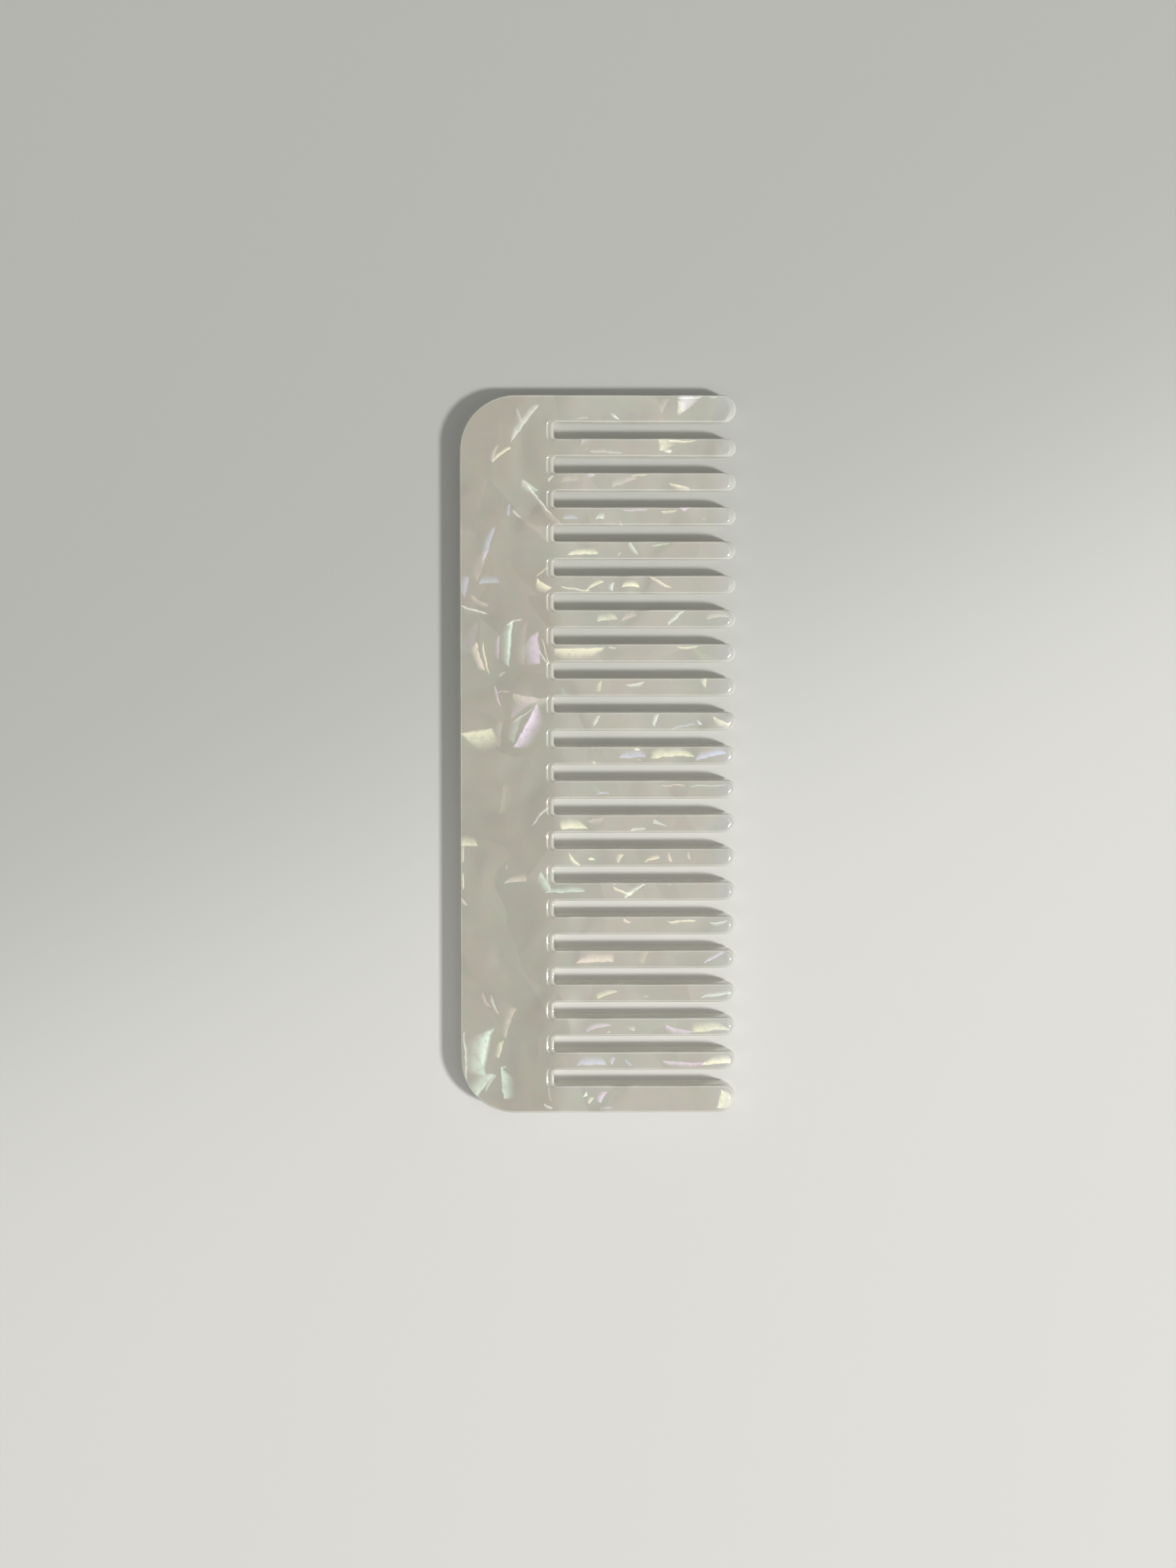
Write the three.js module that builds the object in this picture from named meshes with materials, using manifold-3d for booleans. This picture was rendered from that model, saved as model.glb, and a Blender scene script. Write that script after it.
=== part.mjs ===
// A wide-tooth hair comb, cut from one flat sheet of pearl cellulose acetate.
//
// Frame: millimetres. The comb lies flat on Z = 0, with +Z up through the sheet,
// +Y along its length, and +X from the back's outer edge towards the tips of the teeth.
// The origin is under the middle of the comb, on the face that it lies on.
//
// The real comb is a single piece. It is modelled as the solid back and one body for each
// tooth, which meet face to face along the line where the slots end, so that every slot
// between the teeth stays open when the bodies are used for contact.

import * as THREE from 'three';
import { mergeVertices } from 'three/addons/utils/BufferGeometryUtils.js';
import Module from 'manifold-3d';

const wasm = await Module();
wasm.setup();

// ---- Driving dimensions -------------------------------------------------------------

const LENGTH = 130;              // along Y, over the two end teeth
const WIDTH = 50;                // along X, from the back's outer edge to the tips
const THICKNESS = 4;             // of the sheet
const BACK_WIDTH = 17;           // solid band that the teeth stand on
const BACK_CORNER_RADIUS = 10;   // the back's two outer corners, in plan

const INNER_TOOTH_COUNT = 19;
const INNER_TOOTH_WIDTH = 3.37;
const END_TOOTH_WIDTH = 5;       // the two end teeth are stouter

const EDGE_ROUNDING = 0.4;       // radius polished onto every long edge
const TIP_ROUNDING = 1.6;        // radius of a tip, seen from the side

const LEDGE_LENGTH = 1.25;       // shallow ledge at the blind end of each slot, along X
const LEDGE_DEPTH = 0.15;        // how far that ledge lies below the face

// ---- Sizes that follow ---------------------------------------------------------------

const SLOT_COUNT = INNER_TOOTH_COUNT + 1;
const TEETH_TOTAL = 2 * END_TOOTH_WIDTH + INNER_TOOTH_COUNT * INNER_TOOTH_WIDTH;
const SLOT_WIDTH = (LENGTH - TEETH_TOTAL) / SLOT_COUNT;
const PITCH = INNER_TOOTH_WIDTH + SLOT_WIDTH;

const BACK_EDGE_X = -WIDTH / 2;
const ROOT_X = BACK_EDGE_X + BACK_WIDTH;   // where the slots end and the teeth begin
const TIP_X = WIDTH / 2;
const END_Y = LENGTH / 2;

const CUT_MARGIN = 2;            // how far a blank or a cutter runs past the cut it serves
const ARC_STEPS = 6;             // half the number of chords in each arc
const ROUNDING_STEPS = 3;        // rows of faces across a rounded edge

// ---- Material ------------------------------------------------------------------------

const pearlAcetate = new THREE.MeshStandardMaterial({
  name: 'pearl_acetate',
  color: 0xb6b3a5,
  roughness: 0.22,
  metalness: 0,
});

// ---- Solids --------------------------------------------------------------------------

function toSolid(geometry) {
  geometry.deleteAttribute('normal');
  geometry.deleteAttribute('uv');
  const merged = mergeVertices(geometry);
  return new wasm.Manifold(new wasm.Mesh({
    numProp: 3,
    vertProperties: Float32Array.from(merged.attributes.position.array),
    triVerts: Uint32Array.from(merged.index.array),
  }));
}

function toMesh(solid, name) {
  const { vertProperties, triVerts } = solid.getMesh();
  const geometry = new THREE.BufferGeometry();
  geometry.setAttribute('position', new THREE.BufferAttribute(vertProperties, 3));
  geometry.setIndex(new THREE.BufferAttribute(triVerts, 1));
  geometry.computeVertexNormals();
  const mesh = new THREE.Mesh(geometry, pearlAcetate);
  mesh.name = name;
  return mesh;
}

// A plan outline made into sheet, with its upper and lower edges rounded.
function sheetOf(outline) {
  const geometry = new THREE.ExtrudeGeometry(outline, {
    depth: THICKNESS - 2 * EDGE_ROUNDING,
    curveSegments: ARC_STEPS,
    bevelThickness: EDGE_ROUNDING,
    bevelSize: EDGE_ROUNDING,
    bevelOffset: -EDGE_ROUNDING,
    bevelSegments: ROUNDING_STEPS,
  });
  geometry.translate(0, 0, EDGE_ROUNDING);
  return toSolid(geometry);
}

// A side outline in X and Z, made into a bar of the given width centred on y.
function barOf(outline, width, y) {
  const geometry = new THREE.ExtrudeGeometry(outline, {
    depth: width,
    curveSegments: ARC_STEPS,
    bevelEnabled: false,
  });
  geometry.rotateX(Math.PI / 2);
  geometry.translate(0, y + width / 2, 0);
  return toSolid(geometry);
}

// ---- Back ----------------------------------------------------------------------------

function backPlan() {
  const r = BACK_CORNER_RADIUS;
  const right = ROOT_X + CUT_MARGIN;
  const plan = new THREE.Shape();
  plan.moveTo(right, -END_Y);
  plan.lineTo(right, END_Y);
  plan.lineTo(BACK_EDGE_X + r, END_Y);
  plan.absarc(BACK_EDGE_X + r, END_Y - r, r, Math.PI / 2, Math.PI, false);
  plan.lineTo(BACK_EDGE_X, -END_Y + r);
  plan.absarc(BACK_EDGE_X + r, -END_Y + r, r, Math.PI, 1.5 * Math.PI, false);
  plan.closePath();
  return plan;
}

// The straight side of the back's band: everything up to the line where the slots end.
function backSide() {
  const side = new THREE.Shape();
  side.moveTo(BACK_EDGE_X - CUT_MARGIN, -CUT_MARGIN);
  side.lineTo(ROOT_X, -CUT_MARGIN);
  side.lineTo(ROOT_X, THICKNESS + CUT_MARGIN);
  side.lineTo(BACK_EDGE_X - CUT_MARGIN, THICKNESS + CUT_MARGIN);
  side.closePath();
  return side;
}

// What a slot's ledge takes out of one face of the back; z is the lower side of the cut.
function ledgeCut(y, z) {
  const start = ROOT_X - LEDGE_LENGTH;
  const end = ROOT_X + CUT_MARGIN;
  const cut = new THREE.Shape();
  cut.moveTo(start, z);
  cut.lineTo(end, z);
  cut.lineTo(end, z + LEDGE_DEPTH + CUT_MARGIN);
  cut.lineTo(start, z + LEDGE_DEPTH + CUT_MARGIN);
  cut.closePath();
  return barOf(cut, SLOT_WIDTH, y);
}

function makeBack() {
  let solid = sheetOf(backPlan()).intersect(barOf(backSide(), LENGTH + 2 * CUT_MARGIN, 0));
  for (let i = 0; i < SLOT_COUNT; i += 1) {
    const y = (i - (SLOT_COUNT - 1) / 2) * PITCH;
    solid = solid.subtract(ledgeCut(y, THICKNESS - LEDGE_DEPTH));
    solid = solid.subtract(ledgeCut(y, -CUT_MARGIN));
  }
  return toMesh(solid, 'back');
}

// ---- Teeth ---------------------------------------------------------------------------

// A tooth seen from above: straight sides and a half-round tip.
function toothPlan(width, y) {
  const r = width / 2;
  const left = ROOT_X - CUT_MARGIN;
  const plan = new THREE.Shape();
  plan.moveTo(left, y - r);
  plan.lineTo(TIP_X - r, y - r);
  plan.absarc(TIP_X - r, y, r, -Math.PI / 2, Math.PI / 2, false);
  plan.lineTo(left, y + r);
  plan.closePath();
  return plan;
}

// A tooth seen from the side: the full thickness, rounded over at the tip.
function toothSide() {
  const r = TIP_ROUNDING;
  const side = new THREE.Shape();
  side.moveTo(ROOT_X, 0);
  side.lineTo(TIP_X - r, 0);
  side.absarc(TIP_X - r, r, r, -Math.PI / 2, 0, false);
  side.lineTo(TIP_X, THICKNESS - r);
  side.absarc(TIP_X - r, THICKNESS - r, r, 0, Math.PI / 2, false);
  side.lineTo(ROOT_X, THICKNESS);
  side.closePath();
  return side;
}

function makeTooth(name, width, y) {
  const bar = barOf(toothSide(), width + 2 * CUT_MARGIN, y);
  return toMesh(sheetOf(toothPlan(width, y)).intersect(bar), name);
}

// ---- Comb ----------------------------------------------------------------------------

const comb = new THREE.Group();
comb.name = 'comb';
comb.add(makeBack());

const endToothY = END_Y - END_TOOTH_WIDTH / 2;
comb.add(makeTooth('end_tooth_1', END_TOOTH_WIDTH, endToothY));
for (let i = 0; i < INNER_TOOTH_COUNT; i += 1) {
  const number = String(i + 1).padStart(2, '0');
  const y = ((INNER_TOOTH_COUNT - 1) / 2 - i) * PITCH;
  comb.add(makeTooth(`inner_tooth_${number}`, INNER_TOOTH_WIDTH, y));
}
comb.add(makeTooth('end_tooth_2', END_TOOTH_WIDTH, -endToothY));

export default comb;
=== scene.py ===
"""A wide-tooth comb in polished pearl acetate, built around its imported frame.

The sheet is one continuous mesh: its outline is walked once, and a rounded section is swept round it.
"""

import math

import bmesh
import bpy
from bpy.props import FloatProperty, FloatVectorProperty, IntProperty, PointerProperty
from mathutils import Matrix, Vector


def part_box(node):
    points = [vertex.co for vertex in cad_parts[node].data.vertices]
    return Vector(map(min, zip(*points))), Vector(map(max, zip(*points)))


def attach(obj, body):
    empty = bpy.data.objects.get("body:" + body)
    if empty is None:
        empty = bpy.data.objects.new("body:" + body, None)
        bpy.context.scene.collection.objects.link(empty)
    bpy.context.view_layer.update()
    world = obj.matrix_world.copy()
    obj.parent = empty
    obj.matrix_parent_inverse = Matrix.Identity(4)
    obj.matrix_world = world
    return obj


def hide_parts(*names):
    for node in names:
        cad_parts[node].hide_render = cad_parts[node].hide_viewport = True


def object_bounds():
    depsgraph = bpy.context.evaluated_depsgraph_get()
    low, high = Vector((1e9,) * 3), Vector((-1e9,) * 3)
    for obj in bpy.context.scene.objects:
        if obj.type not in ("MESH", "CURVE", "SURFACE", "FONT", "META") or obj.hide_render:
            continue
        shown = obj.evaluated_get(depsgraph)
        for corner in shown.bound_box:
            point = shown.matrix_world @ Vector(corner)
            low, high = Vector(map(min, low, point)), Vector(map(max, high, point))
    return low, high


bl_info = {
    "name": "Pearl Acetate Comb",
    "version": (1, 0, 0),
    "blender": (4, 5, 0),
    "location": "3D View > Sidebar > Comb",
    "description": "Builds a sheet-cut wide-tooth comb, its pearl acetate and a plain studio stage",
    "category": "Mesh",
}

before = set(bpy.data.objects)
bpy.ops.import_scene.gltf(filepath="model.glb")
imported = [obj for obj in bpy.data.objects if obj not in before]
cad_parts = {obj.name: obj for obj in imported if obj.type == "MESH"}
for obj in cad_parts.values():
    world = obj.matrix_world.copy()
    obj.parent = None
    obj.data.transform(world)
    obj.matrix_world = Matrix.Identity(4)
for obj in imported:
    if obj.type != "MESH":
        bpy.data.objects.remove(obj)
CAD_BOX = [list(corner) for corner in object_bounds()]

MM = 0.001
BODY = "root"

# The teeth in order along the comb, from the -Y end, each as its lowest and highest corner.
TEETH = sorted((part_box(name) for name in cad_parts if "tooth" in name), key=lambda box: box[0].y)
BACK_LOW, BACK_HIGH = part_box("back")
LOW, HIGH = (Vector(corner) for corner in CAD_BOX)


# ---- Settings ------------------------------------------------------------------------------------


class CombShape(bpy.types.PropertyGroup):
    """How the sheet's edges, corners and tips are rounded."""

    corner_radius: FloatProperty(
        name="Corner radius", description="The back's two outer corners, in plan",
        default=10 * MM, min=0, unit="LENGTH")
    edge_radius: FloatProperty(
        name="Edge radius", description="Rounding polished onto every long edge",
        default=0.4 * MM, min=0, unit="LENGTH")
    tip_radius: FloatProperty(
        name="Tip radius", description="Rounding at the very tip of a tooth",
        default=1.6 * MM, min=0, unit="LENGTH")
    tip_reach: FloatProperty(
        name="Tip reach", description="How far back from a tip its rounding fades into the edge's",
        default=3 * MM, min=0.1 * MM, unit="LENGTH")
    root_radius: FloatProperty(
        name="Root radius", description="Inner corners at the blind end of a slot, in plan",
        default=0.5 * MM, min=0, unit="LENGTH")
    ledge_length: FloatProperty(
        name="Ledge length", description="Shallow ledge at the blind end of a slot",
        default=1.4 * MM, min=0, unit="LENGTH")
    ledge_depth: FloatProperty(
        name="Ledge depth", description="How far that ledge lies below the face",
        default=0.15 * MM, min=0, unit="LENGTH")
    section_steps: IntProperty(
        name="Section steps", description="Rows of faces across a rounded edge", default=14, min=4)


class PearlFinish(bpy.types.PropertyGroup):
    """The colours and gloss of the acetate, and the light painted onto its edges, walls and tips."""

    warm_color: FloatVectorProperty(
        name="Warm cloud", description="Warmer clouds in the body", subtype="COLOR",
        default=(0.453, 0.424, 0.354), min=0, max=1)
    cool_color: FloatVectorProperty(
        name="Cool cloud", description="Greener clouds in the body", subtype="COLOR",
        default=(0.440, 0.430, 0.358), min=0, max=1)
    # Painted see-through: the tips are mixed towards this pale tone, as if the lit floor showed through the
    # clear acetate.
    painted_see_through_color: FloatVectorProperty(
        name="Clear tip", description="Thin acetate at the tips", subtype="COLOR",
        default=(0.55, 0.555, 0.52), min=0, max=1)
    # Painted highlight: this pale colour is mixed in along the rounded edges and the ledges' steps, and the
    # next setting says how much.
    glow_color: FloatVectorProperty(
        name="Edge glow", description="Light gathered in the rounded edges", subtype="COLOR",
        default=(0.80, 0.80, 0.71), min=0, max=1)
    painted_highlight_amount: FloatProperty(
        name="Edge glow amount", description="How much the edges light up", default=0.65, min=0, max=1)
    # Painted light: the side walls are mixed towards this lighter colour, as if light came through the
    # acetate.
    painted_wall_color: FloatVectorProperty(
        name="Walls", description="The side walls, which light reaches through the acetate", subtype="COLOR",
        default=(0.68, 0.66, 0.59), min=0, max=1)
    tooth_gain: FloatVectorProperty(
        name="Tooth gain", description="How many times lighter the teeth are than the back", subtype="COLOR",
        default=(1.16, 1.18, 1.205), min=0)
    facet_contrast: FloatProperty(
        name="Facet contrast", description="How far the wide soft facets differ in tone", default=0.08, min=0)
    mottle: FloatProperty(
        name="Mottle", description="How far the finest clouding varies the colour", default=0.14, min=0)
    # How much of that painted see-through tone the tips take.
    painted_see_through_share: FloatProperty(
        name="Tip clearness", description="How clear the tips are", default=0.8, min=0, max=1)
    # How much the walls are painted lighter.
    painted_wall_share: FloatProperty(
        name="Wall share", description="How much of the walls' own colour shows", default=0.8, min=0, max=1)
    roughness: FloatProperty(
        name="Roughness", description="Of the pearl layer under the polish", default=0.45, min=0, max=1)
    polish: FloatProperty(
        name="Polish roughness", description="Of the clear polished surface", default=0.04, min=0, max=1)


class StageSettings(bpy.types.PropertyGroup):
    """The floor, the light and the camera."""

    dark_floor: FloatVectorProperty(
        name="Floor, far", description="The floor's tone at its darker side", subtype="COLOR",
        default=(0.485, 0.491, 0.458), min=0, max=1)
    light_floor: FloatVectorProperty(
        name="Floor, near", description="The floor's tone at its lighter side", subtype="COLOR",
        default=(0.717, 0.710, 0.674), min=0, max=1)
    key_power: FloatProperty(
        name="Key power", description="Of the one lamp that casts the shadow",
        default=30.5, min=0, unit="POWER")
    key_place: FloatVectorProperty(
        name="Key place", description="Where that lamp stands",
        default=(0.590, -0.219, 0.616), subtype="TRANSLATION", unit="LENGTH")
    key_radius: FloatProperty(
        name="Key radius", description="Of that lamp, which softens its shadow",
        default=0.062, min=0, unit="LENGTH")
    fill_strength: FloatProperty(
        name="Fill strength", description="Shadowless lamps above and below", default=1.03, min=0)
    room: FloatProperty(
        name="Room light", description="Even light from all round", default=0.13, min=0)
    lens: FloatProperty(
        name="Lens", description="Focal length on a 36 mm long side, in millimetres", default=43.2, min=1)
    shift: FloatProperty(
        name="Shift", description="Vertical lens shift, as a share of the long side", default=-0.08)


# ---- Shader arithmetic ---------------------------------------------------------------------------


class Wire:
    """A shader socket that plain arithmetic works on: each operator adds a Math node."""

    def __init__(self, graph, socket):
        self.graph = graph
        self.socket = socket

    def math(self, operation, *others):
        return self.graph.math(operation, self, *others)

    def __add__(self, other):
        return self.math("ADD", other)

    def __radd__(self, other):
        return self.math("ADD", other)

    def __rsub__(self, other):
        return self.graph.math("SUBTRACT", other, self)

    def __mul__(self, other):
        return self.math("MULTIPLY", other)

    def __truediv__(self, other):
        return self.math("DIVIDE", other)

    def __rtruediv__(self, other):
        return self.graph.math("DIVIDE", other, self)

    def __gt__(self, other):
        return self.math("GREATER_THAN", other)


class Graph:
    """A node tree that is written as expressions."""

    def __init__(self, tree):
        self.tree = tree
        tree.nodes.clear()

    def node(self, kind, settings=None, sockets=None):
        """Adds a node, sets its settings, then gives each named socket its value or its link."""
        made = self.tree.nodes.new(kind)
        for name, value in (settings or {}).items():
            if name == "stops":
                self.set_stops(made.color_ramp, value)
            else:
                setattr(made, name, value)
        for name, value in (sockets or {}).items():
            if isinstance(value, Wire):
                self.tree.links.new(value.socket, made.inputs[name])
            else:
                made.inputs[name].default_value = value
        return made

    @staticmethod
    def set_stops(ramp, stops):
        while len(ramp.elements) < len(stops):
            ramp.elements.new(1.0)
        for element, (position, color) in zip(ramp.elements, stops):
            element.position = position
            element.color = (*color, 1.0)

    def wire(self, kind, settings=None, sockets=None, output=0):
        """The same, but gives back one output of the node."""
        return Wire(self, self.node(kind, settings, sockets).outputs[output])

    def math(self, operation, *values):
        return self.wire("ShaderNodeMath", {"operation": operation}, dict(enumerate(values)))

    def vector(self, operation, *values, output=0):
        return self.wire("ShaderNodeVectorMath", {"operation": operation}, dict(enumerate(values)), output)

    def scale(self, vector, factor):
        return self.wire("ShaderNodeVectorMath", {"operation": "SCALE"}, {"Vector": vector, "Scale": factor})

    def smooth(self, value, start, end):
        """0 on the start's side and 1 on the end's, whichever is higher. Soft shoulders join them, and the
        result needs no clamp of its own."""
        settings = {"interpolation_type": "SMOOTHSTEP", "clamp": False}
        return self.wire("ShaderNodeMapRange", settings, {"Value": value, "From Min": start, "From Max": end})

    def mix(self, factor, first, second, blend="MIX"):
        settings = {"data_type": "RGBA", "blend_type": blend}
        return self.wire("ShaderNodeMix", settings, {0: factor, 6: rgba(first), 7: rgba(second)}, 2)

    def noise(self, vector, scale, detail=2.0, output=0):
        sockets = {"Vector": vector, "Scale": scale, "Detail": detail}
        return self.wire("ShaderNodeTexNoise", None, sockets, output)


def rgba(color):
    return color if isinstance(color, Wire) else (*color[:3], 1.0)


# ---- Acetate -------------------------------------------------------------------------------------

# What each kind of flash adds to the acetate's own colour.
FLASHES = {
    "white": (0.42, 0.48, 0.44),
    "cream": (0.52, 0.51, 0.32),
    "mint": (0.30, 0.42, 0.35),
    "lilac": (0.40, 0.29, 0.46),
    "rose": (0.48, 0.38, 0.31),
    "silver": (0.31, 0.28, 0.34),
    "blue": (0.24, 0.28, 0.46),
    "pale": (0.24, 0.20, 0.17),
}

# The larger folds of the pearl near the upper face, in millimetres and degrees: the middle's x and y, the
# length and the angle of the bright crease, how far the flash spreads to its left, its kind and its strength.
BACK_FOLDS = (
    (-13.2, 59.6, 7.4, 52, 1.4, "white", 0.75),
    (-14.0, 61.4, 2.8, 105, 0.9, "white", 0.35),
    (-17.4, 54.0, 4.4, 38, 0.9, "cream", 0.95),
    (-18.4, 54.4, 3.2, 70, 1.1, "rose", 0.55),
    (-12.1, 48.9, 3.8, 146, 1.8, "white", 0.65),
    (-10.5, 46.2, 6.4, 130, 0.6, "white", 0.85),
    (-8.4, 43.8, 6.4, 132, 1.4, "pale", 0.60),
    (-14.4, 43.7, 2.4, 140, 0.7, "white", 0.65),
    (-15.9, 44.4, 2.0, 80, 0.8, "blue", 0.70),
    (-12.5, 41.2, 9.0, 140, -3.5, "pale", 0.30),
    (-19.6, 37.8, 6.8, 71, 1.2, "blue", 0.70),
    (-20.5, 34.4, 6.0, 72, 2.4, "pale", 0.45),
    (-19.6, 31.0, 3.8, 4, 1.9, "blue", 0.60),
    (-23.6, 30.2, 3.6, 80, 1.7, "blue", 0.60),
    (-21.3, 28.1, 3.8, 152, 1.2, "pale", 0.80),
    (-22.2, 26.4, 5.4, 165, 0.6, "white", 1.00),
    (-15.1, 24.0, 3.2, 20, 0.5, "white", 0.75),
    (-15.6, 20.2, 8.8, 86, 2.1, "mint", 0.80),
    (-15.8, 20.6, 6.4, 86, 0.9, "white", 0.50),
    (-13.0, 20.2, 8.0, 86, 2.0, "pale", 0.35),
    (-17.8, 19.5, 4.4, 88, 0.8, "lilac", 0.60),
    (-22.0, 21.4, 5.0, 80, 3.0, "lilac", 0.14),
    (-21.1, 18.0, 5.6, 107, 1.8, "rose", 0.95),
    (-20.2, 17.6, 6.0, 101, 0.5, "cream", 1.00),
    (-10.5, 19.7, 5.6, 94, 3.6, "lilac", 0.85),
    (-9.4, 19.0, 4.8, 106, 0.4, "cream", 0.85),
    (-9.7, 17.8, 3.0, 129, 0.5, "white", 0.85),
    (-17.2, 14.6, 1.4, 40, 0.6, "white", 0.60),
    (-18.0, 10.8, 4.2, 105, 0.6, "lilac", 0.85),
    (-17.0, 11.4, 2.0, 12, 0.5, "white", 0.45),
    (-12.2, 10.8, 7.0, 172, 2.4, "pale", 1.00),
    (-13.4, 8.2, 5.4, 34, 3.0, "lilac", 0.26),
    (-13.4, 7.5, 5.0, 36, -0.5, "white", 0.50),
    (-13.3, 5.6, 9.2, 61, -3.2, "lilac", 1.00),
    (-13.2, 5.4, 7.4, 61, -1.7, "white", 0.30),
    (-14.4, 4.7, 5.4, 70, 1.9, "mint", 0.35),
    (-17.4, 3.6, 5.0, 86, 1.8, "pale", 0.45),
    (-22.2, 4.7, 5.6, 10, -4.6, "cream", 0.80),
    (-9.6, 31.2, 3.2, 150, 2.2, "cream", 1.00),
    (-10.0, 33.0, 2.6, 36, 0.5, "cream", 0.60),
    (-23.3, -16.5, 3.4, 0, 2.4, "cream", 0.75),
    (-24.2, -17.9, 3.2, 86, 0.9, "cream", 0.60),
    (-24.3, -22.7, 3.0, 88, 0.5, "cream", 0.85),
    (-24.1, -26.4, 1.8, 130, 0.8, "white", 0.80),
    (-10.4, -11.1, 4.4, 46, 0.6, "white", 0.85),
    (-17.6, -8.0, 5.5, 80, -2.0, "pale", 0.30),
    (-16.5, -20.4, 1.2, 70, 0.5, "white", 0.35),
    (-15.0, -23.1, 3.6, 4, 1.7, "rose", 0.60),
    (-9.3, -22.6, 4.0, 118, 1.8, "mint", 0.85),
    (-6.0, -24.9, 7.4, 2, 1.3, "mint", 0.85),
    (-18.7, -45.1, 3.6, 112, 0.7, "white", 0.65),
    (-20.1, -44.3, 3.4, 120, 0.9, "pale", 0.80),
    (-15.8, -48.7, 5.6, 72, 1.8, "pale", 0.95),
    (-19.6, -53.8, 8.6, 80, 5.4, "mint", 0.85),
    (-20.0, -53.2, 6.4, 78, 2.2, "white", 0.40),
    (-24.2, -54.6, 8.0, 93, -0.6, "white", 0.80),
    (-20.6, -60.5, 6.4, 55, 3.0, "mint", 0.90),
    (-19.4, -59.6, 3.6, 58, 0.9, "white", 0.55),
    (-17.4, -53.3, 3.2, 76, 1.2, "cream", 0.75),
    (-17.2, -56.8, 1.4, 10, 0.6, "white", 0.50),
    (-17.6, -59.4, 5.4, 96, -2.6, "mint", 0.95),
    (-9.1, -63.5, 1.8, 160, 0.9, "white", 0.80),
    (-8.7, -61.6, 2.6, 100, 0.5, "pale", 0.80),
)

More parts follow.
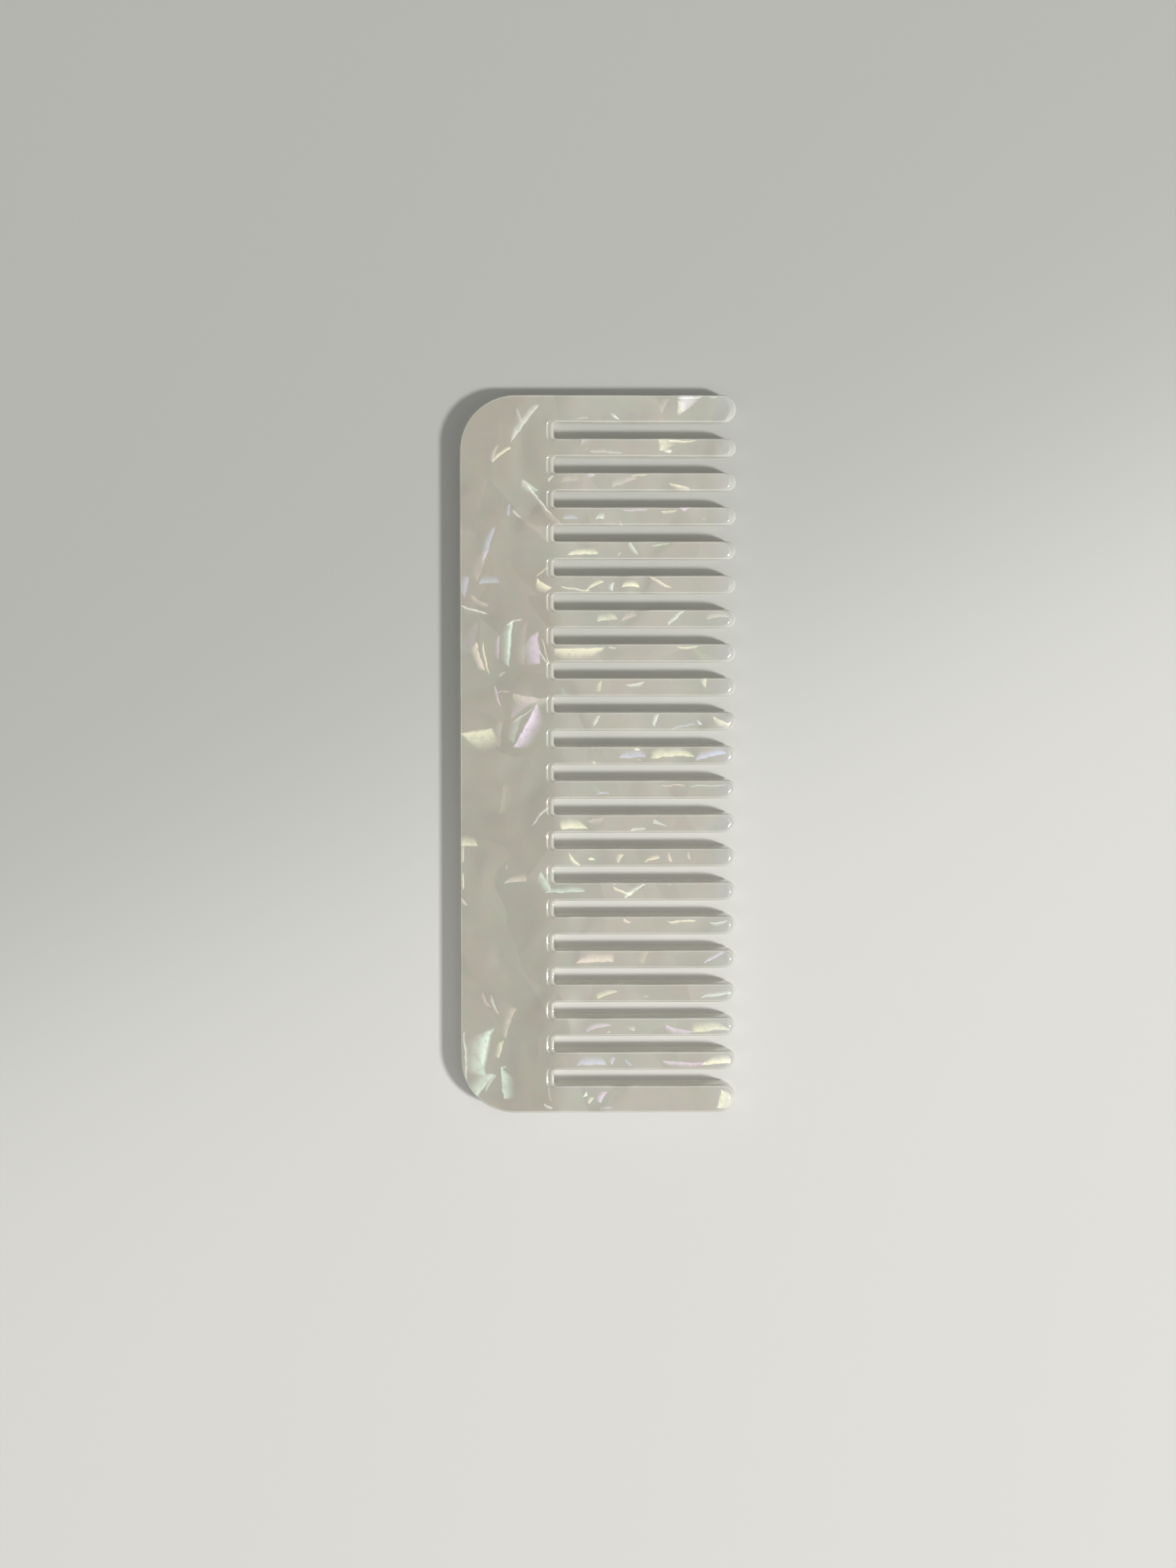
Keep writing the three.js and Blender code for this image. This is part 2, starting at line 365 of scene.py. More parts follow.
# The same for the teeth, where the first number is the tooth, counted from the +Y end, and the third number
# is the distance from the tooth's middle line.
TOOTH_FOLDS = (
    (0, 14.2, 0.7, 3.8, 92, -7.5, "silver", 1.00),
    (0, 14.2, 0.3, 2.6, 86, -1.8, "cream", 0.50),
    (0, 16.6, 2.1, 4.6, 1, -0.5, "white", 0.80),
    (0, 20.6, 2.3, 1.8, 0, -0.4, "white", 0.70),
    (0, 12.3, 0.3, 3.0, 60, 1.6, "pale", 0.60),
    (0, -2.8, -1.8, 2.0, 0, 0.6, "white", 0.35),
    (1, 10.8, 0.5, 2.2, 90, -4.0, "cream", 0.65),
    (1, 15.2, 1.3, 5.2, 0, -0.6, "cream", 1.00),
    (1, 1.4, -1.0, 5.6, 176, -0.8, "white", 0.45),
    (2, -8.4, 0.5, 1.6, 50, 0.8, "white", 0.80),
    (2, -5.2, 0.0, 3.0, 10, 1.6, "pale", 0.50),
    (2, 4.8, -0.3, 5.0, 18, 1.5, "pale", 0.80),
    (2, 7.4, 1.3, 3.0, 4, -0.5, "cream", 0.70),
    (2, 14.6, -0.5, 3.4, 168, 1.3, "cream", 1.00),
    (3, -5.0, -0.6, 2.8, 0, 1.2, "blue", 0.55),
    (3, 0.3, -0.6, 1.4, 0, 1.4, "white", 0.90),
    (3, 6.6, 1.2, 4.6, 1, -0.5, "lilac", 0.75),
    (3, 12.8, 1.1, 3.0, 8, -0.8, "cream", 0.70),
    (4, -2.8, -0.8, 4.8, 2, 1.4, "cream", 1.00),
    (4, 4.0, -0.7, 0.9, 60, 0.6, "white", 0.50),
    (4, 6.6, 0.4, 2.8, 118, 0.9, "white", 0.80),
    (4, 11.2, 1.2, 3.0, 6, -0.5, "cream", 0.65),
    (5, -4.0, -0.6, 5.6, 174, 0.6, "cream", 0.80),
    (5, -0.6, -0.3, 3.4, 24, 0.9, "cream", 1.00),
    (5, 2.8, -0.3, 1.5, 80, 1.0, "white", 0.90),
    (5, 5.8, -0.5, 3.6, 2, 1.4, "cream", 1.00),
    (5, 11.2, 0.7, 4.2, 150, 0.8, "cream", 0.90),
    (6, 1.7, -0.4, 4.0, 8, 1.8, "cream", 0.70),
    (6, 5.6, 0.0, 2.8, 20, 1.4, "pale", 0.90),
    (6, 14.2, 0.1, 3.8, 42, 0.9, "white", 0.80),
    (6, 21.6, 0.1, 4.2, 4, 1.4, "pale", 0.90),
    (7, -3.2, 1.0, 8.6, 2, -2.4, "cream", 0.85),
    (7, 2.6, 1.2, 1.4, 0, -0.6, "white", 0.60),
    (7, 16.2, 1.2, 4.2, 1, -0.6, "cream", 0.90),
    (8, 0.6, 0.3, 1.8, 85, 1.2, "cream", 0.60),
    (8, 6.7, 0.7, 3.6, 12, -0.9, "white", 0.80),
    (8, 19.5, 0.7, 1.8, 80, 1.2, "cream", 0.90),
    (9, 0.0, 0.1, 2.2, 60, 0.9, "white", 0.80),
    (9, 10.6, 0.2, 2.4, 75, 1.0, "white", 0.90),
    (9, 15.4, -1.0, 4.0, 12, 0.6, "blue", 0.65),
    (9, 22.4, 0.2, 3.6, 155, 1.6, "cream", 0.85),
    (10, 6.2, -0.5, 5.0, 3, 1.8, "blue", 0.75),
    (10, 13.6, -0.4, 7.4, 2, 2.2, "cream", 0.90),
    (10, 20.4, -0.3, 6.0, 12, 1.6, "blue", 0.95),
    (11, 13.7, 0.9, 4.4, 0, -0.5, "rose", 0.70),
    (11, 20.0, 0.8, 6.6, 2, -0.5, "white", 0.55),
    (11, 0.9, -0.9, 2.4, 2, 0.6, "blue", 0.85),
    (12, -4.2, -1.0, 4.2, 1, 2.2, "cream", 0.90),
    (12, -0.6, 0.9, 3.2, 10, -1.2, "pale", 0.70),
    (12, 7.2, -1.2, 2.8, 3, 0.7, "white", 0.75),
    (13, -4.2, -0.2, 2.8, 134, 0.9, "cream", 1.00),
    (13, 4.2, -0.3, 2.0, 60, 1.2, "cream", 0.75),
    (13, 9.7, -0.6, 2.8, 16, 1.0, "cream", 0.75),
    (13, 13.1, 0.2, 1.8, 110, 0.9, "rose", 0.80),
    (13, 16.6, 0.3, 1.4, 100, 0.7, "cream", 0.55),
    (14, 4.4, 0.3, 3.4, 162, 0.8, "cream", 0.85),
    (14, 6.7, 0.0, 4.8, 33, 1.0, "white", 0.90),
    (15, 5.3, 1.0, 1.4, 150, 0.7, "rose", 0.90),
    (15, 15.1, 0.9, 5.4, 2, -0.7, "cream", 0.90),
    (15, 21.9, 0.7, 3.4, 8, -0.9, "white", 0.65),
    (16, -0.7, -0.7, 6.2, 2, 2.2, "rose", 0.85),
    (16, 8.8, 0.3, 2.6, 70, 1.6, "pale", 0.60),
    (16, 21.0, 0.0, 4.4, 28, 0.9, "lilac", 0.85),
    (17, 1.8, -0.4, 3.8, 18, 1.3, "cream", 0.70),
    (17, 8.6, -0.9, 1.2, 0, 0.6, "white", 0.40),
    (17, 21.4, -0.6, 5.2, 8, 0.9, "white", 0.80),
    (18, 0.1, -0.3, 4.8, 12, 1.2, "lilac", 0.80),
    (18, 14.8, -0.2, 5.2, 166, 1.6, "lilac", 0.65),
    (18, 20.6, -0.9, 6.0, 4, 2.2, "cream", 0.75),
    (19, -1.0, -0.8, 5.6, 2, 1.9, "blue", 0.75),
    (19, 2.9, -0.2, 1.4, 70, 1.0, "blue", 0.90),
    (19, 5.6, -0.2, 1.6, 136, 0.8, "blue", 0.65),
    (19, 15.6, -0.2, 8.4, 176, 1.2, "lilac", 0.80),
    (19, 21.4, -0.8, 4.8, 4, 2.0, "cream", 1.00),
    (20, 1.2, 0.3, 2.6, 60, 1.5, "lilac", 0.95),
    (20, -1.1, -0.4, 1.5, 60, 0.9, "cream", 0.80),
    (20, 1.6, -1.8, 2.2, 10, 0.8, "lilac", 0.55),
    (20, 21.9, 0.0, 3.6, 75, -3.6, "cream", 0.85),
)


def fold_list():
    """All the larger folds, each with its own x and y on the face."""
    middles = [(low.y + high.y) / 2 / MM for low, high in reversed(TEETH)]
    placed = [(x, middles[tooth] + offset, *rest) for tooth, x, offset, *rest in TOOTH_FOLDS]
    return list(BACK_FOLDS) + placed


MOST_LEAN = 35       # of a fold's two ends, in degrees
GOLDEN = 0.618034    # its multiples fall evenly between whole numbers, so neighbours lean differently

# The colours of the scattered flakes, along a ramp that each flake is given its own place on.
FLAKE_STOPS = [
    (0.00, FLASHES["cream"]),
    (0.35, FLASHES["white"]),
    (0.50, FLASHES["cream"]),
    (0.62, FLASHES["mint"]),
    (0.72, FLASHES["white"]),
    (0.84, FLASHES["lilac"]),
    (0.92, FLASHES["blue"]),
    (1.00, FLASHES["white"]),
]

# Facets are given as their length, width and height in millimetres, the way they point in degrees, and a
# seed. A layer of scattered flakes adds the share of its facets that flash, and how strongly they do.
WIDE_FACETS = ((17.0, 9.0, 9.0), 66, 3.1)
FLAKE_LAYERS = (
    (((8.0, 2.6, 3.0), 5, 11.0), 0.28, 0.55),
    (((4.4, 1.7, 2.2), -7, 27.0), 0.28, 1.00),
    (((2.0, 1.0, 1.4), 30, 43.0), 0.14, 1.00),
)

# How fine each noise is: about how many of its clouds there are to a millimetre.
DRIFT_SCALE = 0.07
CLOUD_SCALE = 0.09
PATCH_SCALE = 0.12
MOTTLE_SCALE = 0.45
WAVE_SCALE = 0.45
STREAK_SCALE = 1.1

# How strongly things are bent out of true, in millimetres. The furthest shift is about a third of it.
DRIFT = 9.0          # the clouds and the facets
WAVINESS = 0.8       # the folds' creases

LAYERING = 2.0       # how much flatter than wide the clouds are
FADE_HEIGHT = (1.6, 2.6)    # where the upper face's folds fade in, in millimetres above the lower face
MIDDLE = (0.5, 0.5, 0.5)    # of the range of a random colour


def crumpled(graph, place, size, turn, seed):
    """Flat facets as in crushed foil. Gives how far each spot is up its facet's slope and along its side,
    from about -1 to 1, and the facet's random colour. size is its length, width and height in millimetres."""
    scale = [1 / side for side in size]
    turned = graph.wire("ShaderNodeMapping", None, {
        "Vector": place, "Rotation": (0.0, 0.0, math.radians(turn)), "Location": (seed, seed * 0.7, 0.0)})
    stretched = graph.vector("MULTIPLY", turned, scale)
    cells = graph.node("ShaderNodeTexVoronoi", None, {"Vector": stretched, "Scale": 1.0, "Randomness": 1.0})
    middle = Wire(graph, cells.outputs["Position"])
    chance = Wire(graph, cells.outputs["Color"])
    lean = graph.vector("NORMALIZE", graph.vector("SUBTRACT", chance, MIDDLE))
    offset = graph.vector("SUBTRACT", stretched, middle)
    slope = graph.vector("DOT_PRODUCT", offset, lean, output="Value")
    sideways = graph.vector("CROSS_PRODUCT", lean, (0.0, 0.0, 1.0))
    side = graph.vector("DOT_PRODUCT", offset, sideways, output="Value")
    return slope, side, chance


def fold_group():
    """A node group for one fold's flash: sharp along its crease, and fading away from it to one side. Its
    inputs are x and y, and how much of each, and what start, make up the ways along and across the fold."""
    tree = bpy.data.node_groups.new("fold flash", "ShaderNodeTree")
    graph = Graph(tree)
    names = ("X", "Y", "Along X", "Along Y", "Along Start", "Across X", "Across Y", "Across Start")
    for name in names:
        tree.interface.new_socket(name, in_out="INPUT", socket_type="NodeSocketFloat")
    tree.interface.new_socket("Flash", in_out="OUTPUT", socket_type="NodeSocketFloat")
    given = graph.node("NodeGroupInput")
    x, y, along_x, along_y, along_start, across_x, across_y, across_start = (
        Wire(graph, given.outputs[name]) for name in names)
    along = x * along_x + y * along_y + along_start
    across = x * across_x + y * across_y + across_start
    # The flash is widest at its middle, and closes just past its ends, where along is -1 and 1.
    square = along * along
    belly = 1.02 - square * square
    away = across / belly
    flash = graph.smooth(away, 0.0, 0.14) * graph.smooth(away, 1.0, 0.05) * graph.smooth(belly, 0.0, 0.6)
    graph.node("NodeGroupOutput", None, {"Flash": flash})
    return tree


def fold_flash(graph, group, x, y, fold_x, fold_y, length, angle, spread, lean):
    """How brightly one fold flashes at x and y. lean slants its two ends, in degrees."""
    cos, sin = math.cos(math.radians(angle)), math.sin(math.radians(angle))
    lean_cos, lean_sin = math.cos(math.radians(angle + lean)), math.sin(math.radians(angle + lean))
    reach = length / 2
    return graph.wire("ShaderNodeGroup", {"node_tree": group}, {
        "X": x, "Y": y,
        "Along X": lean_cos / reach, "Along Y": lean_sin / reach,
        "Along Start": -(fold_x * lean_cos + fold_y * lean_sin) / reach,
        "Across X": -sin / spread, "Across Y": cos / spread,
        "Across Start": (fold_x * sin - fold_y * cos) / spread})


def bend(graph, place, scale, detail, reach):
    """Places moved about by up to about a third of reach, so that what is drawn on them isn't straight."""
    drift = graph.vector("SUBTRACT", graph.noise(place, scale, detail, "Color"), MIDDLE)
    return graph.vector("ADD", place, graph.scale(drift, reach))


def cloudy_body(graph, finish, bent, on_teeth):
    """Broad warm and cool clouds, with wide facets and a fine mottle that are only just told apart. Gives
    the colour and the clouds."""
    cloud = graph.smooth(graph.noise(bent, CLOUD_SCALE, 1.0), 0.34, 0.66)
    color = graph.mix(cloud, finish.cool_color, finish.warm_color)
    slope, _, _ = crumpled(graph, bent, *WIDE_FACETS)
    color = graph.scale(color, 1.0 + slope * finish.facet_contrast)
    mottle = graph.scale(graph.noise(bent, MOTTLE_SCALE, 3.0, "Color"), finish.mottle)
    evened = graph.vector("ADD", mottle, [1 - finish.mottle / 2] * 3)
    color = graph.vector("MULTIPLY", color, evened)
    color = graph.mix(on_teeth, color, graph.vector("MULTIPLY", color, finish.tooth_gain))
    return color, cloud


def add_scattered_flakes(graph, color, bent, scatter):
    """Adds small flakes that flash, as many as scatter says, from 0 to 1."""
    for facets, share, strength in FLAKE_LAYERS:
        slope, side, chance = crumpled(graph, bent, *facets)
        parts = graph.node("ShaderNodeSeparateColor", None, {"Color": chance})
        luck = Wire(graph, parts.outputs[0])
        tint = Wire(graph, parts.outputs[1])
        lit = luck + scatter * share > 1.0
        ends = graph.smooth(side * side, 0.30, 0.02)
        flash = graph.smooth(slope, -0.15, 0.50) * ends * lit
        hue = graph.wire("ShaderNodeValToRGB", {"stops": FLAKE_STOPS}, {"Fac": tint})
        color = graph.mix(flash * flash * strength, color, hue, "ADD")
    return color


def add_folds(graph, color, place, near_top):
    """Adds the larger folds, which lie close under the upper face."""
    wavy = graph.node("ShaderNodeSeparateXYZ", None, {0: bend(graph, place, WAVE_SCALE, 3.0, WAVINESS)})
    x, y = Wire(graph, wavy.outputs[0]), Wire(graph, wavy.outputs[1])
    group = fold_group()
    glints = (0.0, 0.0, 0.0)
    for number, (fold_x, fold_y, length, angle, spread, kind, strength) in enumerate(fold_list()):
        lean = (2 * (number * GOLDEN % 1) - 1) * MOST_LEAN
        flash = fold_flash(graph, group, x, y, fold_x, fold_y, length, angle, spread, lean)
        glints = graph.mix(flash, glints, [strength * part for part in FLASHES[kind]], "ADD")
    streaks = graph.smooth(graph.noise(place, STREAK_SCALE, 2.0), 0.3, 0.7) * 0.6 + 0.7
    return graph.mix(near_top * streaks, color, glints, "ADD")


def add_painted_light(graph, color, finish):
    """Paints light into the colour: the walls are painted lighter, as if light came through the acetate, and
    painted highlight lines run along the polished edges and at the ledges' steps.
    """
    # Painted light: the walls are mixed towards a lighter colour.
    wall = graph.wire("ShaderNodeAttribute", {"attribute_name": "wall"}, output="Fac")
    color = graph.mix(wall * finish.painted_wall_share, color, finish.painted_wall_color)
    # Painted highlight lines along the edges and at the ledges' steps.
    glow = graph.wire("ShaderNodeAttribute", {"attribute_name": "glow"}, output="Fac")
    return graph.mix(glow * finish.painted_highlight_amount, color, finish.glow_color)


def pearl_material(finish):
    """Polished acetate: cloudy body, crumpled flakes that flash, light painted onto its edges, walls and
    tips, and a clear coat over all of it.
    """
    material = bpy.data.materials.new("pearl_acetate")
    material.use_nodes = True
    graph = Graph(material.node_tree)
    here = graph.wire("ShaderNodeTexCoord", output="Object")
    place = graph.scale(here, 1 / MM)
    axes = graph.node("ShaderNodeSeparateXYZ", None, {0: place})
    x, z = Wire(graph, axes.outputs[0]), Wire(graph, axes.outputs[2])
    root, tip = BACK_HIGH.x / MM, HIGH.x / MM
    on_teeth = graph.smooth(x, root - 2.0, root + 4.0)
    near_tip = graph.smooth(x, tip - 6.0, tip - 1.0)
    near_top = graph.smooth(z, *FADE_HEIGHT)

    layered = graph.vector("MULTIPLY", place, (1.0, 1.0, LAYERING))
    bent = bend(graph, layered, DRIFT_SCALE, 0.0, DRIFT)
    color, cloud = cloudy_body(graph, finish, bent, on_teeth)

    # Many scattered flakes on the underside and the walls, and hardly any among the upper face's folds.
    patches = graph.smooth(graph.noise(layered, PATCH_SCALE, 0.0), 0.40, 0.60) * 0.6 + 0.4
    scatter = (1.0 - near_top * (1.0 - on_teeth * 0.1)) * patches * (1.0 - near_tip * 0.8)
    color = add_scattered_flakes(graph, color, bent, scatter)

    # Thin acetate is clearer at the tips: their colour is painted towards a pale floor tone, as if the lit
    # floor showed through.
    color = graph.mix(near_tip * finish.painted_see_through_share, color, finish.painted_see_through_color)
    color = add_folds(graph, color, place, near_top)
    color = add_painted_light(graph, color, finish)

    bump = graph.wire("ShaderNodeBump", None, {"Strength": 0.4, "Distance": MM, "Height": cloud})
    shader = graph.wire("ShaderNodeBsdfPrincipled", None, {
        "Base Color": color,
        "Roughness": finish.roughness,
        "Normal": bump,
        "Specular IOR Level": 0.2,
        "Coat Weight": 1.0,
        "Coat Roughness": finish.polish,
        "Coat IOR": 1.49,
    })
    graph.node("ShaderNodeOutputMaterial", None, {"Surface": shader})
    return material


# ---- Comb ----------------------------------------------------------------------------------------


def between(start, end, share):
    return start + (end - start) * share


def smoothstep(value):
    value = min(max(value, 0.0), 1.0)
    return value * value * (3 - 2 * value)


# Stations round each arc, and the places of the stations between a tooth's root and its shoulder, and
# between its shoulder and its nose.
CORNER_STEPS = 20
NOSE_STEPS = 20
ROOT_STEPS = 6
SHANK_SPOTS = (0.33, 0.66)
SHOULDER_SPOTS = (0.25, 0.5, 0.75)


class Outline:
    """The comb's plan outline, walked with the solid on the left. Each station holds a point, the way into
    the solid, how much of a tip it is and how much of a slot's blind end."""

    def __init__(self, shape):
        self.shape = shape
        self.stations = []

    def add(self, point, inward, ledge=0.0):
        """Adds a station. The nearer it is to the end of the teeth, the more of a tip it is."""
        reach = self.shape.tip_reach
        tip = smoothstep((point.x - (HIGH.x - reach)) / reach)
        self.stations.append((point, inward, tip, ledge))

    def line(self, start, end, spots):
        """Stations at these shares of the way from start to end."""
        along = (end - start).normalized()
        inward = Vector((-along.y, along.x))
        for share in spots:
            self.add(between(start, end, share), inward)

    def arc(self, centre, radius, start, end, steps, ledge=None):
        """Stations round an arc, in degrees. ledge is for an inner corner at a slot's blind end, whose
        centre lies in the open: it says how much of the ledge each share of the arc has."""
        for step in range(steps + 1):
            share = step / steps
            angle = math.radians(between(start, end, share))
            out = Vector((math.cos(angle), math.sin(angle)))
            if ledge:
                self.add(centre + out * radius, out, ledge(share))
            else:
                self.add(centre + out * radius, -out)


def comb_outline(shape):
    """Walks the outline once round, anticlockwise seen from above."""
    outline = Outline(shape)
    root_x = BACK_HIGH.x
    corner, root = shape.corner_radius, shape.root_radius
    outline.arc(Vector((LOW.x + corner, LOW.y + corner)), corner, 180, 270, CORNER_STEPS)
    for number, (low, high) in enumerate(TEETH):
        half = (high.y - low.y) / 2
        middle = (high.y + low.y) / 2
        start_x = LOW.x + corner if number == 0 else root_x + root
        nose_x = HIGH.x - half
        shoulder_x = nose_x - shape.tip_reach
        end_x = LOW.x + corner if number == len(TEETH) - 1 else root_x + root
        outline.line(Vector((start_x, low.y)), Vector((shoulder_x, low.y)), (*SHANK_SPOTS, 1.0))
        outline.line(Vector((shoulder_x, low.y)), Vector((nose_x, low.y)), SHOULDER_SPOTS)
        outline.arc(Vector((nose_x, middle)), half, -90, 90, NOSE_STEPS)
        outline.line(Vector((nose_x, high.y)), Vector((shoulder_x, high.y)), (*SHOULDER_SPOTS, 1.0))
        outline.line(Vector((shoulder_x, high.y)), Vector((end_x, high.y)), SHANK_SPOTS)
        if number < len(TEETH) - 1:
            next_low = TEETH[number + 1][0].y
            lower = Vector((root_x + root, high.y + root))
            upper = Vector((root_x + root, next_low - root))
            outline.arc(lower, root, 270, 180, ROOT_STEPS, ledge=smoothstep)
            outline.arc(upper, root, 180, 90, ROOT_STEPS, ledge=lambda share: smoothstep(1 - share))
    outline.arc(Vector((LOW.x + corner, HIGH.y - corner)), corner, 90, 180, CORNER_STEPS)
    return outline.stations


LIP_SHARE = 0.7      # of the edge's rounding, left at the lip of a ledge
STEP_START = 0.35    # of the way through a ledge's rows of faces, where its step up to the face begins


def section(shape, tip, ledge):
    """The rounded edge at one station, from the wall up to the flat: (distance in, drop below the face)."""
    steps = shape.section_steps
    radius = between(shape.edge_radius, shape.tip_radius, tip)
    lip = shape.edge_radius * LIP_SHARE
    lip_steps = steps // 2
    points = []
    for step in range(steps + 1):
        angle = math.pi / 2 * step / steps
        plain = Vector((radius * (1 - math.cos(angle)), radius * (1 - math.sin(angle))))
        if step <= lip_steps:
            turn = math.pi / 2 * step / lip_steps
            worn = Vector((lip * (1 - math.cos(turn)), lip * (1 - math.sin(turn)) + shape.ledge_depth))
        else:
            share = (step - lip_steps) / (steps - lip_steps)
            worn = Vector((between(lip, shape.ledge_length, share ** 0.5),
                           shape.ledge_depth * (1 - smoothstep((share - STEP_START) / (1 - STEP_START)))))
        points.append(between(plain, worn, ledge))
    return points


LIGHT_LINE_WIDTH = 0.16 * MM    # half the width of each painted highlight line, and how far in the walls' painted light fades
EDGE_LINE_INSET = 0.27 * MM     # from the wall to the painted highlight line along every edge
STEP_LINE_SHARE = 0.86          # of the ledge's length, from the wall to the painted highlight line along its step


def ridge(value, middle, half_width):
    """1 at the middle, falling straight to 0 half_width away."""
    return max(0.0, 1 - abs(value - middle) / half_width)


def comb_mesh(shape):
    """Sweeps the section round the outline for both faces, then closes each face with one flat polygon."""
    stations = comb_outline(shape)
    mesh = bmesh.new()
    # Masks for painted light: glow for the painted highlight lines, wall for the walls' painted lighter
    # colour.
    glow = mesh.verts.layers.float.new("glow")
    wall = mesh.verts.layers.float.new("wall")
    rings = []
    steps = shape.section_steps
    for face, away in ((LOW.z, 1), (HIGH.z, -1)):
        order = range(steps, -1, -1) if away > 0 else range(steps + 1)
        for index in order:
            ring = []
            for point, inward, tip, ledge in stations:
                inset, drop = section(shape, tip, ledge)[index]
                place = point + inward * inset
                vertex = mesh.verts.new((place.x, place.y, face + away * drop))
                # Where highlight lines are painted: along every edge, and along each ledge's step.
                painted_edge_highlight = ridge(inset, EDGE_LINE_INSET, LIGHT_LINE_WIDTH)
                painted_step_highlight = ridge(inset, shape.ledge_length * STEP_LINE_SHARE, LIGHT_LINE_WIDTH) * ledge
                vertex[glow] = max(painted_edge_highlight, painted_step_highlight) if index < steps else 0.0
                # Marks the walls, whose colour is painted lighter.
                vertex[wall] = max(0.0, 1 - inset / LIGHT_LINE_WIDTH)
                ring.append(vertex)
            rings.append(ring)
    count = len(stations)
    for lower, upper in zip(rings, rings[1:]):
        for i in range(count):
            j = (i + 1) % count
            mesh.faces.new((lower[i], lower[j], upper[j], upper[i]))
    mesh.faces.new(reversed(rings[0]))
    mesh.faces.new(rings[-1])
    for face in mesh.faces:
        face.smooth = True
    made = bpy.data.meshes.new("comb")
    mesh.to_mesh(made)
    mesh.free()
    return made


class COMB_OT_comb(bpy.types.Operator):
    """Make the comb and its pearl acetate"""

    bl_idname = "comb.make_comb"
    bl_label = "Make comb"

    def execute(self, context):
        shape = context.scene.comb_shape
        piece = bpy.data.objects.new("comb", comb_mesh(shape))
        context.scene.collection.objects.link(piece)
        piece.data.materials.append(pearl_material(context.scene.comb_finish))
        weighted = piece.modifiers.new("Flat faces", "WEIGHTED_NORMAL")
        weighted.weight = 100
        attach(piece, BODY)
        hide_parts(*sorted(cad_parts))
        return {"FINISHED"}


# ---- Stage ---------------------------------------------------------------------------------------

FLOOR_HALF = 4.0        # from the floor's middle to each side
FLOOR_Z = -0.02 * MM    # just under the comb, so that the two faces never lie in one plane

# The floor's tone changes along one direction, in millimetres from the comb's middle.
TONE_TURN = math.radians(-65.8)
TONE_START = -3.8
TONE_WIDTH = 15.5

# The shadowless lamps above: the side each one stands on, how high it stands and how wide it looks.
FILL_TURNS = [math.radians(turn) for turn in (90, 210, 330)]
FILL_RISE = math.radians(50)
FILL_SPREAD = math.radians(45)

# The camera looks almost straight down.
CAMERA_PLACE = (-5.8 * MM, 26.0 * MM, 343.5 * MM)
CAMERA_TILT = (math.radians(-1.43), math.radians(-0.67), 0.0)


def floor_material(stage):
    """A plain pale sheet that is graded softly from one tone to another, and is clear from below."""
    material = bpy.data.materials.new("graded_floor")
    material.use_nodes = True
    graph = Graph(material.node_tree)
    place = graph.scale(graph.wire("ShaderNodeTexCoord", output="Object"), 1 / MM)
    along = (math.cos(TONE_TURN), math.sin(TONE_TURN), 0.0)
    way = graph.vector("DOT_PRODUCT", place, along, output="Value")
    tone = 1 / (1 + graph.math("EXPONENT", (TONE_START - way) / TONE_WIDTH))
    color = graph.mix(tone, stage.dark_floor, stage.light_floor)
    shader = graph.wire("ShaderNodeBsdfPrincipled", None, {
        "Base Color": color,
        "Roughness": 0.9,
        "Specular IOR Level": 0.0,
    })
    from_below = graph.wire("ShaderNodeNewGeometry", output="Backfacing")
    clear = graph.wire("ShaderNodeBsdfTransparent")
    surface = graph.wire("ShaderNodeMixShader", None, {0: from_below, 1: shader, 2: clear})
    graph.node("ShaderNodeOutputMaterial", None, {"Surface": surface})
    return material


def make_floor(context, stage):
    mesh = bpy.data.meshes.new("floor")
    corners = [(x * FLOOR_HALF, y * FLOOR_HALF, FLOOR_Z) for x, y in ((-1, -1), (1, -1), (1, 1), (-1, 1))]
    mesh.from_pydata(corners, [], [(0, 1, 2, 3)])
    mesh.materials.append(floor_material(stage))
    floor = bpy.data.objects.new("floor", mesh)
    context.scene.collection.objects.link(floor)


def make_fill(context, toward, strength):
    """A lamp far away in the direction toward, which casts no shadow and shows in no reflection."""
    data = bpy.data.lights.new("fill", "SUN")
    data.energy = strength
    data.angle = FILL_SPREAD
    data.use_shadow = False
    lamp = bpy.data.objects.new("fill", data)
    lamp.location = toward
    lamp.rotation_euler = toward.to_track_quat("Z", "Y").to_euler()
    lamp.visible_glossy = False
    context.scene.collection.objects.link(lamp)


def make_key(context, stage):
    """The one lamp that casts a shadow. Its strength doesn't fall off, so that the stage is lit evenly."""
    data = bpy.data.lights.new("key", "POINT")
    data.energy = stage.key_power
    data.shadow_soft_size = stage.key_radius
    data.use_nodes = True
    graph = Graph(data.node_tree)
    even = graph.wire("ShaderNodeLightFalloff", None, {"Strength": 1.0}, "Constant")
    glow = graph.wire("ShaderNodeEmission", None, {"Strength": even})
    graph.node("ShaderNodeOutputLight", None, {"Surface": glow})
    lamp = bpy.data.objects.new("key", data)
    lamp.location = stage.key_place
    lamp.visible_camera = False
    context.scene.collection.objects.link(lamp)


def make_world(context, stage):
    """Even light from all round."""
    world = bpy.data.worlds.new("even light")
    world.use_nodes = True
    graph = Graph(world.node_tree)
    light = graph.wire("ShaderNodeBackground", None, {"Color": (1.0, 1.0, 1.0, 1.0), "Strength": stage.room})
    graph.node("ShaderNodeOutputWorld", None, {"Surface": light})
    context.scene.world = world


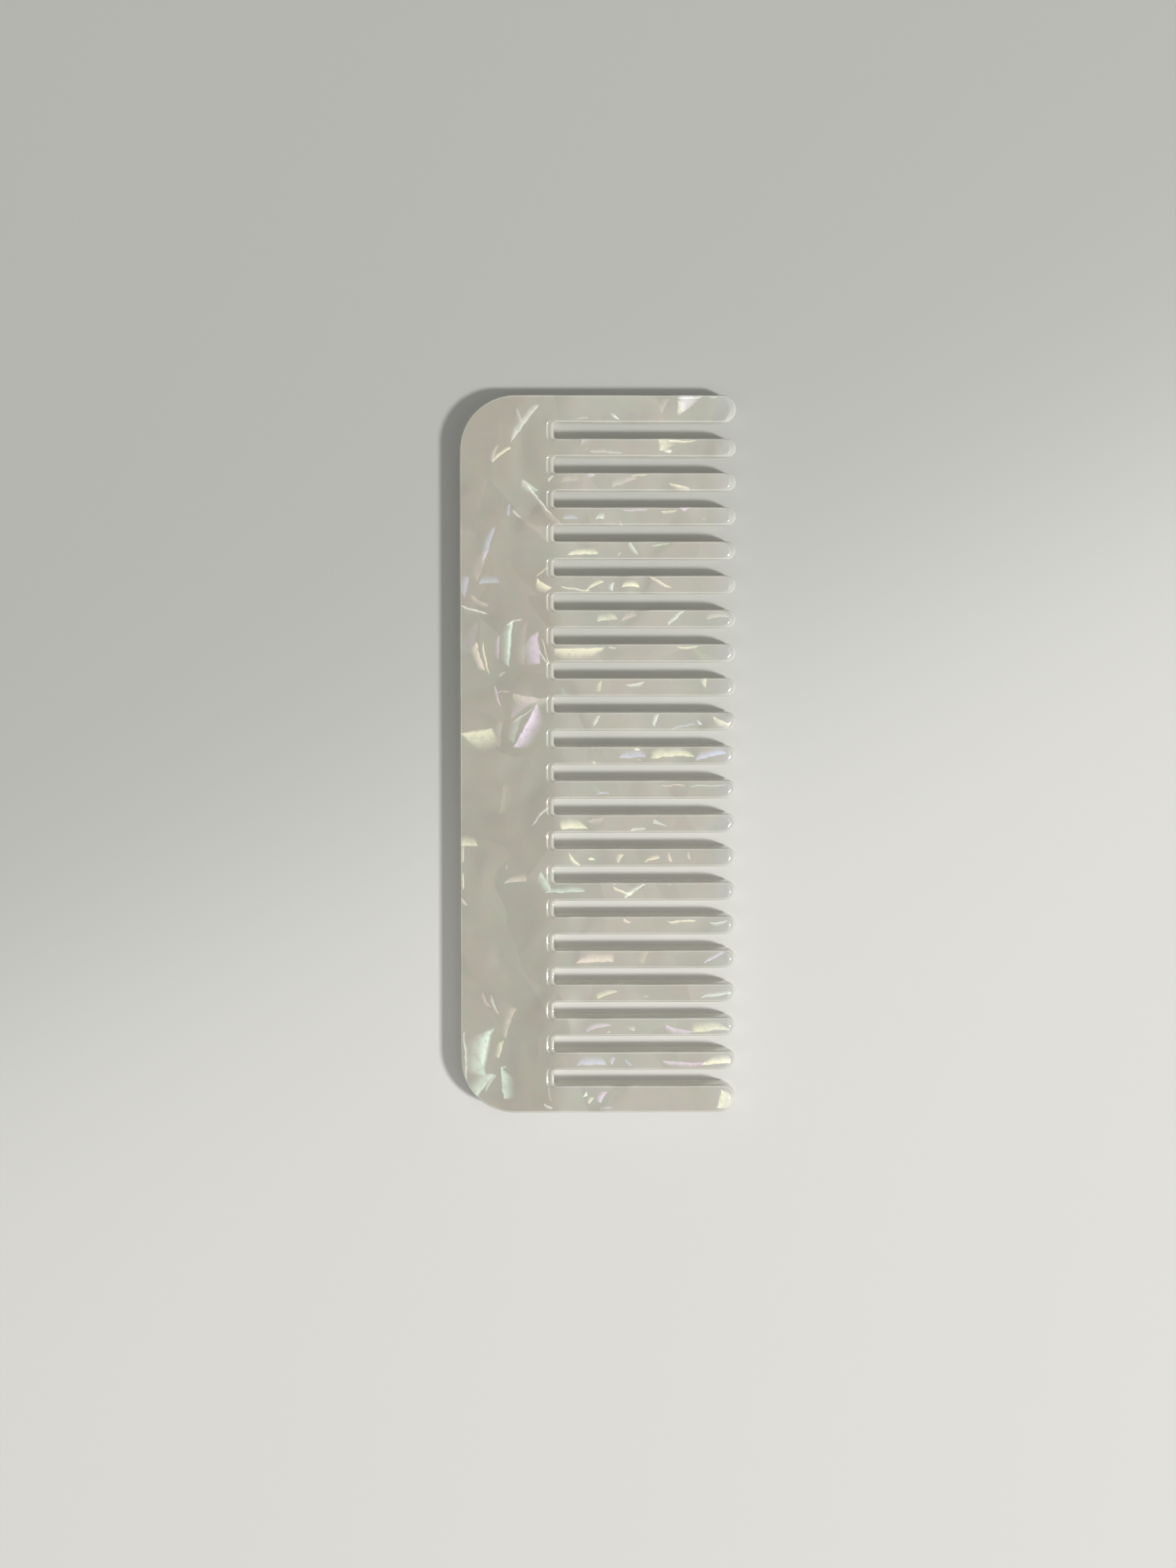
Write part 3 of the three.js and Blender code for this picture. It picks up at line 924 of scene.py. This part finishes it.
def make_lights(context, stage):
    make_key(context, stage)
    flat, rise = math.cos(FILL_RISE), math.sin(FILL_RISE)
    for turn in FILL_TURNS:
        toward = Vector((flat * math.cos(turn), flat * math.sin(turn), rise))
        make_fill(context, toward, stage.fill_strength / (len(FILL_TURNS) * rise))
    make_fill(context, Vector((0.0, 0.0, -1.0)), stage.fill_strength)
    make_world(context, stage)


def make_camera(context, stage):
    data = bpy.data.cameras.new("camera")
    data.sensor_width = 36
    data.lens = stage.lens
    data.shift_y = stage.shift
    data.clip_start = 0.01
    data.clip_end = 10
    camera = bpy.data.objects.new("camera", data)
    camera.location = CAMERA_PLACE
    camera.rotation_euler = CAMERA_TILT
    context.scene.collection.objects.link(camera)
    context.scene.camera = camera


class COMB_OT_stage(bpy.types.Operator):
    """Make the floor, the light and the camera"""

    bl_idname = "comb.make_stage"
    bl_label = "Make stage"

    def execute(self, context):
        stage = context.scene.comb_stage
        make_floor(context, stage)
        make_lights(context, stage)
        make_camera(context, stage)
        context.scene.view_settings.view_transform = "Standard"
        return {"FINISHED"}


# ---- Add-on --------------------------------------------------------------------------------------


class COMB_PT_panel(bpy.types.Panel):
    """Lists the comb's settings and its two steps"""

    bl_label = "Comb"
    bl_space_type = "VIEW_3D"
    bl_region_type = "UI"
    bl_category = "Comb"

    def draw(self, context):
        for group in (context.scene.comb_shape, context.scene.comb_finish, context.scene.comb_stage):
            box = self.layout.box()
            for name in group.__annotations__:
                box.prop(group, name)
        self.layout.operator(COMB_OT_comb.bl_idname)
        self.layout.operator(COMB_OT_stage.bl_idname)


CLASSES = (CombShape, PearlFinish, StageSettings, COMB_OT_comb, COMB_OT_stage, COMB_PT_panel)


def register():
    for each in CLASSES:
        bpy.utils.register_class(each)
    bpy.types.Scene.comb_shape = PointerProperty(type=CombShape)
    bpy.types.Scene.comb_finish = PointerProperty(type=PearlFinish)
    bpy.types.Scene.comb_stage = PointerProperty(type=StageSettings)


def unregister():
    del bpy.types.Scene.comb_stage
    del bpy.types.Scene.comb_finish
    del bpy.types.Scene.comb_shape
    for each in reversed(CLASSES):
        bpy.utils.unregister_class(each)


def main():
    register()
    bpy.ops.comb.make_comb()
    bpy.ops.comb.make_stage()
    bpy.context.view_layer.update()


if __name__ == "__main__":
    main()
